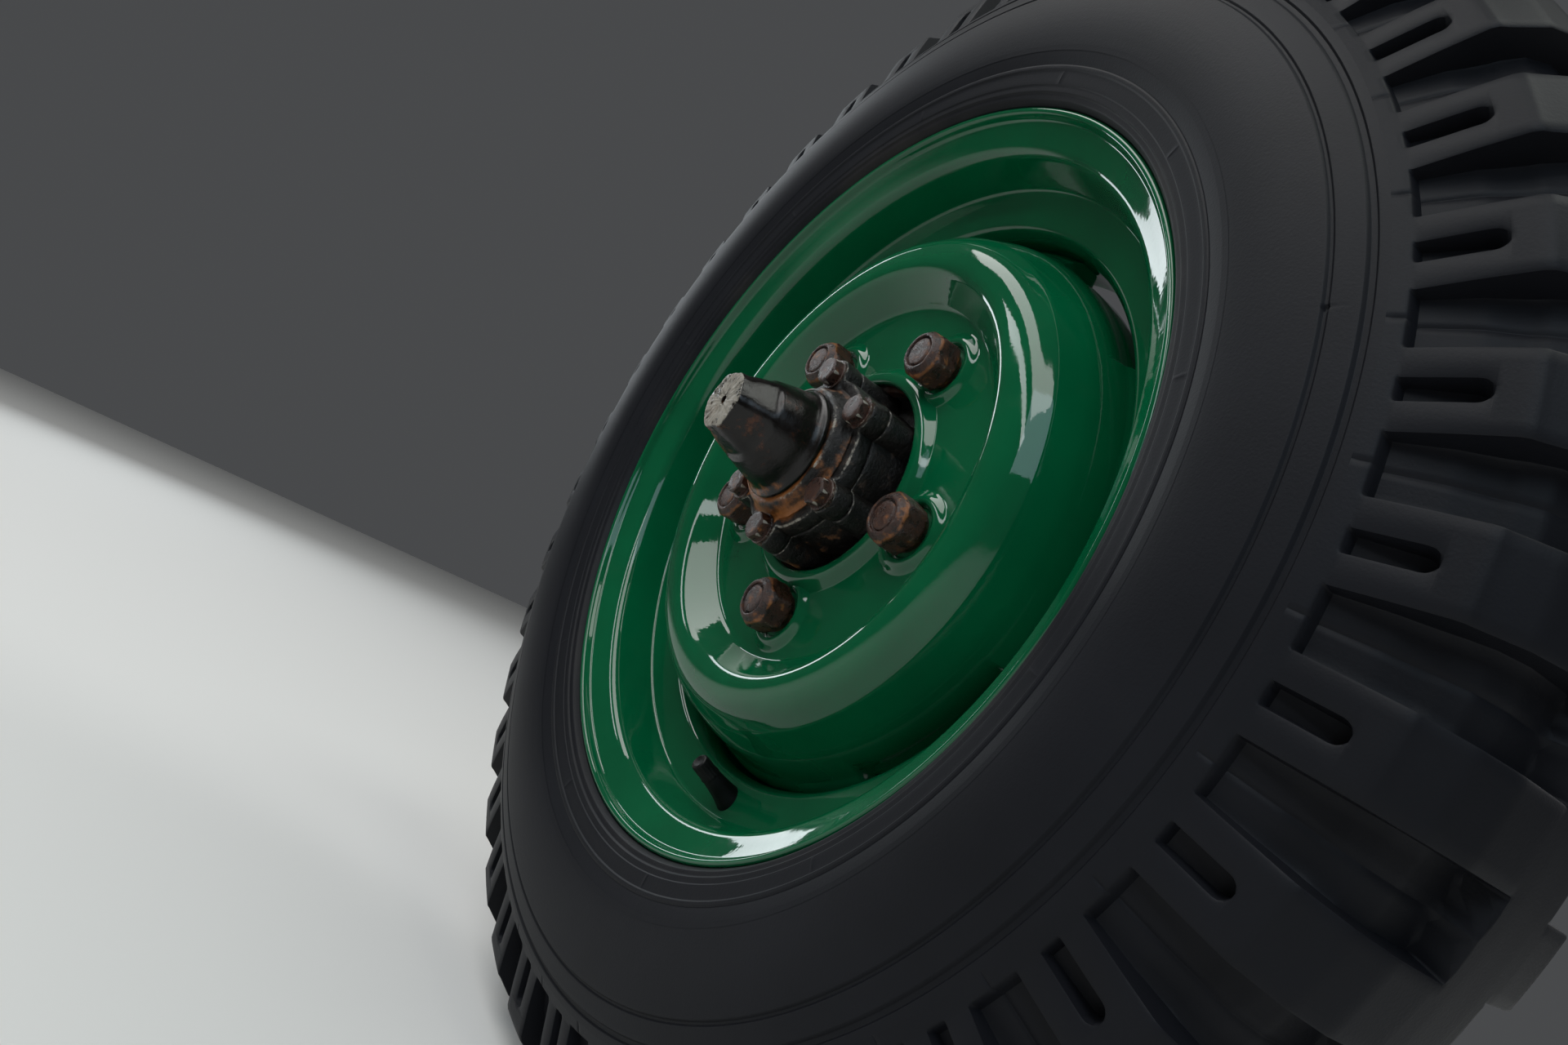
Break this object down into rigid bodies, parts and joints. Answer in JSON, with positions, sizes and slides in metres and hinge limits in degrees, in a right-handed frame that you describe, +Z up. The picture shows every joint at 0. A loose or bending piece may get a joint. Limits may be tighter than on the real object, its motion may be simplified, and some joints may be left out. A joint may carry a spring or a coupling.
{
  "type": "road wheel with tyre on its hub and stub axle, from a light four-wheel-drive military car",
  "caption": "Pressed steel road wheel with a lugged cross-country tyre, turning freely on a hub with brake drum, backplate and flanged stub axle.",
  "frame": {"origin": "centre of the stub axle's mounting face, on the wheel's axis", "axes": "+Y along the wheel's axis toward the vehicle, -Y out through the wheel's outer face, +Z up, +X across"},
  "size_m": [0.73, 0.22, 0.73],
  "materials": {
    "tyre": "moulded black rubber, scuffed and dusty",
    "green_enamel": "glossy deep green enamel over pressed steel",
    "rusty_steel": "rusted steel with remains of dark paint",
    "black_casting": "cast iron, black paint with rust and grease",
    "worn_steel": "turned steel, dark and worn, bare at the tip",
    "drum_iron": "bare cast iron, lightly rusted",
    "black_plate": "black stove paint on pressed steel",
    "forged_steel": "forged and turned steel, oiled",
    "bearing_steel": "ground steel",
    "black_rubber": "moulded black rubber"
  },
  "bodies": {
    "axle_end": {"stub_axle": "forged_steel", "brake_backplate": "black_plate", "wheel_cylinder": "black_casting", "shoe_adjuster": "forged_steel"},
    "wheel": {"hub": "black_casting", "bearing_inner": "bearing_steel", "bearing_outer": "bearing_steel", "brake_drum": "drum_iron", "wheel_disc": "green_enamel", "rim": "green_enamel", "tyre": "tyre", "drive_flange": "black_casting", "nose_ring": "worn_steel", "hub_nose": "worn_steel", "valve_stem": "black_rubber", "valve_cap": "black_rubber", "wheel_stud_1": "rusty_steel", "wheel_nut_1": "rusty_steel", "wheel_stud_2": "rusty_steel", "wheel_nut_2": "rusty_steel", "wheel_stud_3": "rusty_steel", "wheel_nut_3": "rusty_steel", "wheel_stud_4": "rusty_steel", "wheel_nut_4": "rusty_steel", "wheel_stud_5": "rusty_steel", "wheel_nut_5": "rusty_steel", "drive_bolt_1": "rusty_steel", "drive_bolt_2": "rusty_steel", "drive_bolt_3": "rusty_steel", "drive_bolt_4": "rusty_steel", "drive_bolt_5": "rusty_steel", "drive_bolt_6": "rusty_steel"}
  },
  "joints": [
    {"name": "wheel_spin", "type": "hinge", "parent": "axle_end", "child": "wheel", "pos_m": [0, 0, 0], "axis": [0, 1, 0], "continuous": true}
  ]
}
